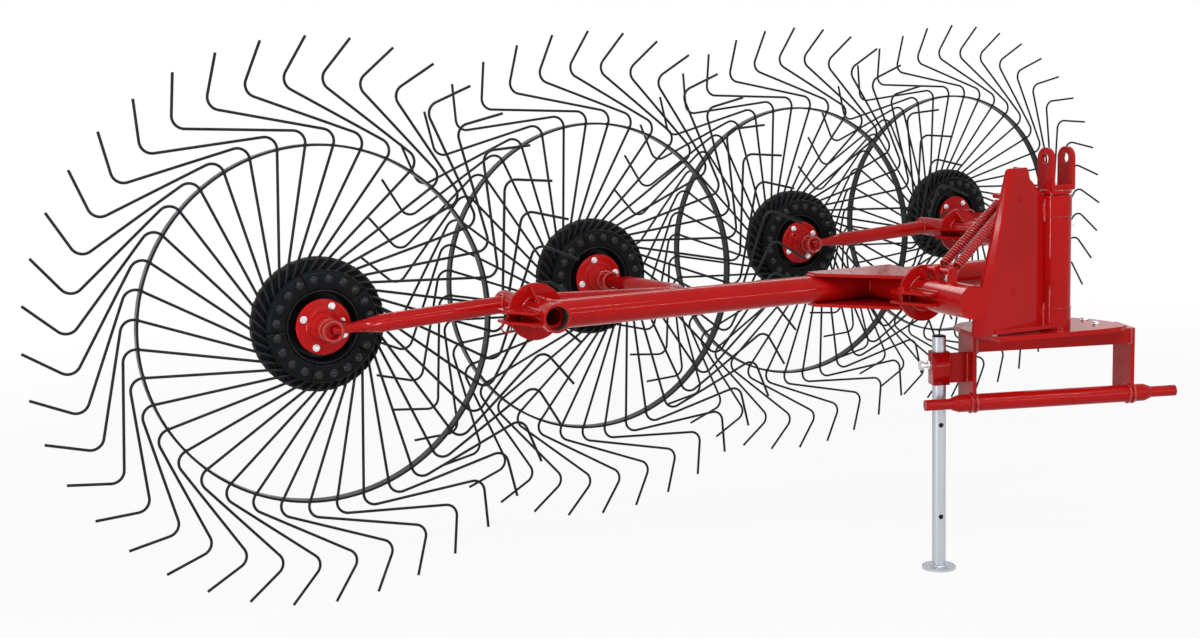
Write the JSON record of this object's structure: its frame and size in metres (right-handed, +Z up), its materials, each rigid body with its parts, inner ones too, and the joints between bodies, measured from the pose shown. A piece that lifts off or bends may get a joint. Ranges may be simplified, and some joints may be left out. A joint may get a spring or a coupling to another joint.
{
  "type": "four-wheel finger-wheel hay rake, folded",
  "caption": "Three-point-mounted finger-wheel hay rake folded on its stand leg: spoked tine wheels on rocker arms, a cranked main beam, a sprung swing tower and a hitch headstock.",
  "frame": {"origin": "on the ground under the middle of the whole rake", "axes": "+X along the lower-link pins to the right as seen from the tractor's side, +Y away from the tractor, +Z up"},
  "size_m": [3.668, 2.4974, 1.4037],
  "materials": {
    "red_paint": "glossy red enamel",
    "galvanised": "galvanised",
    "zinc": "zinc plated",
    "black_wire": "black enamelled spring steel",
    "tyre_rubber": "moulded rubber"
  },
  "bodies": {
    "headstock": {"left_upright": "red_paint", "right_upright": "red_paint", "lower_cross_tube": "red_paint", "upper_beam": "red_paint", "swivel_plate": "red_paint", "mast_post": "red_paint", "top_link_fork": "red_paint", "stand_collar": "red_paint", "stand_clamp_bolt": "zinc"},
    "stand": {"stand_leg": "galvanised", "stand_foot": "red_paint"},
    "tower": {"tower_sleeve": "red_paint", "tower_front_plate": "red_paint", "tower_rear_plate": "red_paint", "tower_foot": "red_paint", "swing_lock_pin": "zinc", "float_arm": "red_paint", "float_pin": "red_paint", "centre_pivot_sleeve": "red_paint", "upper_spring_bar": "red_paint", "centre_lock_pin": "zinc", "front_lift_spring": "red_paint", "rear_lift_spring": "red_paint"},
    "main_beam": {"beam_left_tube": "red_paint", "beam_right_tube": "red_paint", "beam_centre_shaft": "red_paint", "beam_gussets": "red_paint", "front_pivot_sleeve": "red_paint", "rear_pivot_sleeve": "red_paint"},
    "front_rocker": {"front_rocker_shaft": "red_paint", "front_rocker_arm": "red_paint", "front_rocker_crank": "red_paint"},
    "rear_rocker": {"rear_rocker_shaft": "red_paint", "rear_rocker_arm": "red_paint", "rear_rocker_crank": "red_paint"},
    "wheel_1": {"wheel_1_tines": "black_wire", "wheel_1_ring": "black_wire", "wheel_1_tyre": "tyre_rubber", "wheel_1_hub": "red_paint"},
    "wheel_2": {"wheel_2_tines": "black_wire", "wheel_2_ring": "black_wire", "wheel_2_tyre": "tyre_rubber", "wheel_2_hub": "red_paint"},
    "wheel_3": {"wheel_3_tines": "black_wire", "wheel_3_ring": "black_wire", "wheel_3_tyre": "tyre_rubber", "wheel_3_hub": "red_paint"},
    "wheel_4": {"wheel_4_tines": "black_wire", "wheel_4_ring": "black_wire", "wheel_4_tyre": "tyre_rubber", "wheel_4_hub": "red_paint"}
  },
  "joints": [
    {"name": "tower_swing", "type": "hinge", "parent": "headstock", "child": "tower", "pos_m": [0.66479, -1.04045, 0.62187], "axis": [0, 0, 1], "range_deg": [-60, 0]},
    {"name": "stand_slide", "type": "slide", "parent": "headstock", "child": "stand", "axis": [0, 0, 1], "range_m": [0, 0.4]},
    {"name": "main_beam_pivot", "type": "hinge", "parent": "tower", "child": "main_beam", "pos_m": [0.26089, -0.83273, 0.72786], "axis": [-0.2756, 0.9613, 0], "range_deg": [-8, 8]},
    {"name": "front_rocker_pivot", "type": "hinge", "parent": "main_beam", "child": "front_rocker", "pos_m": [-0.64551, -1.01669, 0.72786], "axis": [-0.2756, 0.9613, 0], "range_deg": [-12, 12]},
    {"name": "wheel_1_spin", "type": "hinge", "parent": "front_rocker", "child": "wheel_1", "pos_m": [-1.1639, -0.88134, 0.70186], "axis": [-0.2756, 0.9613, 0], "continuous": true},
    {"name": "wheel_2_spin", "type": "hinge", "parent": "front_rocker", "child": "wheel_2", "pos_m": [-0.39118, -0.23116, 0.70186], "axis": [-0.2756, 0.9613, 0], "continuous": true},
    {"name": "rear_rocker_pivot", "type": "hinge", "parent": "main_beam", "child": "rear_rocker", "pos_m": [0.89993, 0.28366, 0.72786], "axis": [-0.2756, 0.9613, 0], "range_deg": [-12, 12]},
    {"name": "wheel_3_spin", "type": "hinge", "parent": "rear_rocker", "child": "wheel_3", "pos_m": [0.38154, 0.41902, 0.70186], "axis": [-0.2756, 0.9613, 0], "continuous": true},
    {"name": "wheel_4_spin", "type": "hinge", "parent": "rear_rocker", "child": "wheel_4", "pos_m": [1.15426, 1.06919, 0.70186], "axis": [-0.2756, 0.9613, 0], "continuous": true}
  ]
}
